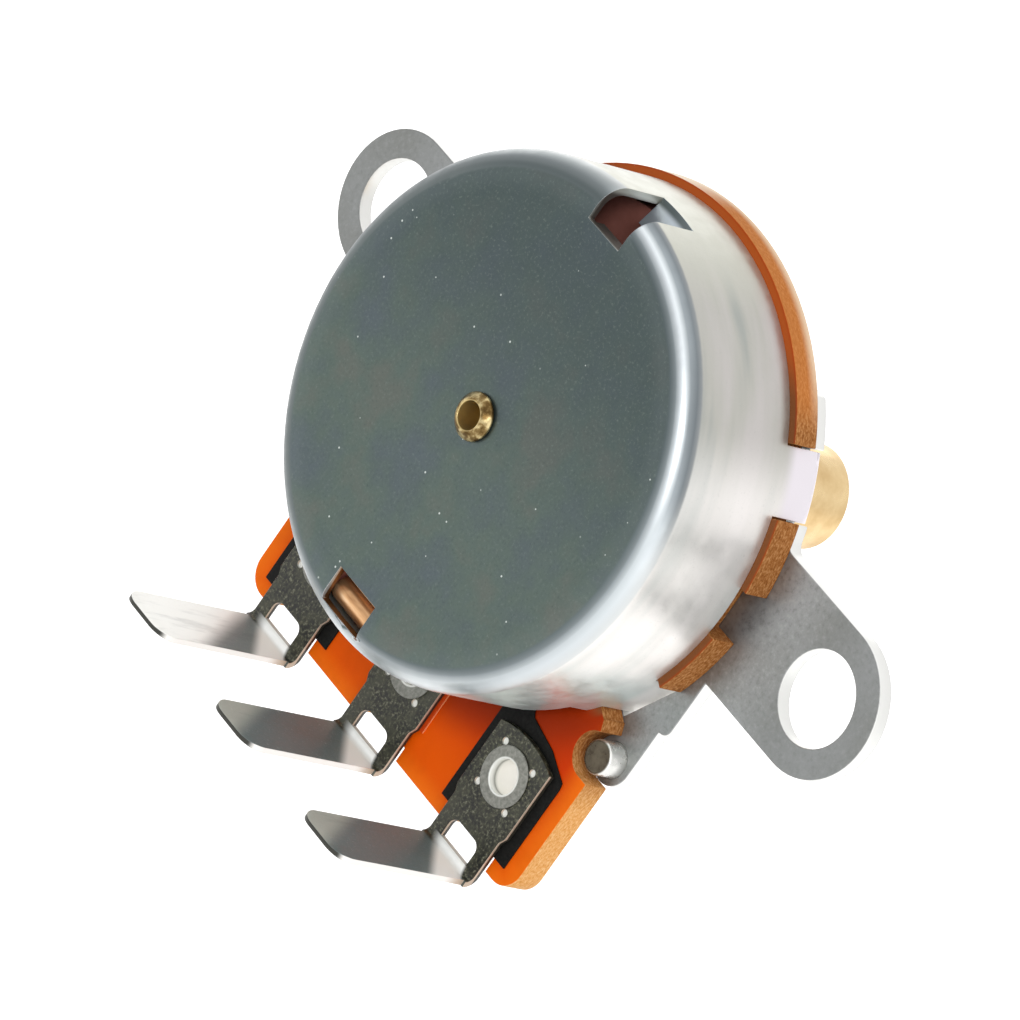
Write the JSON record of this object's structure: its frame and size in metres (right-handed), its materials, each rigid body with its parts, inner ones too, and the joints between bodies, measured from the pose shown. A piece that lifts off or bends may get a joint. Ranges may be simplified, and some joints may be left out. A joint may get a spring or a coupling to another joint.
{
  "type": "rotary potentiometer",
  "caption": "Rotary potentiometer of a heater control: drawn steel can on an orange board with blade terminals, a plate with two mounting ears and a brass shaft",
  "frame": {"origin": "on the shaft axis, in the front face of the mounting plate, midway between the ear holes", "axes": "the shaft points to -Y and the closed back of the can faces +Y; the ears lie along X; the terminals hang down towards -Z"},
  "size_m": [0.042, 0.0244, 0.0299],
  "materials": {
    "zinc_plate": "zinc plated",
    "phenolic_board": "semi-gloss",
    "carbon_ink": "matt",
    "silver_ink": "matt",
    "tinned_brass": "satin tin",
    "steel": "satin",
    "brass": "turned",
    "moulded_phenolic": "moulded",
    "phosphor_bronze": "rolled",
    "silver_contact": "satin"
  },
  "bodies": {
    "housing": {"can": "zinc_plate", "mounting_plate": "zinc_plate", "base_board": "phenolic_board", "resistive_track": "carbon_ink", "collector_track": "silver_ink", "terminal_left": "tinned_brass", "terminal_middle": "tinned_brass", "terminal_right": "tinned_brass", "terminal_eyelets": "tinned_brass", "locating_pins": "steel", "bushing": "brass"},
    "rotor_shaft": {"shaft": "brass", "retaining_ring": "steel", "front_washer": "steel", "thrust_washer": "steel", "rotor": "moulded_phenolic", "wiper_spring": "phosphor_bronze", "wiper_contacts": "silver_contact", "wiper_rivets": "brass", "spring_washer": "steel"}
  },
  "joints": [
    {"name": "shaft_turn", "type": "hinge", "parent": "housing", "child": "rotor_shaft", "pos_m": [0, 0, 0], "axis": [0, -1, 0], "range_deg": [-150, 150]}
  ]
}
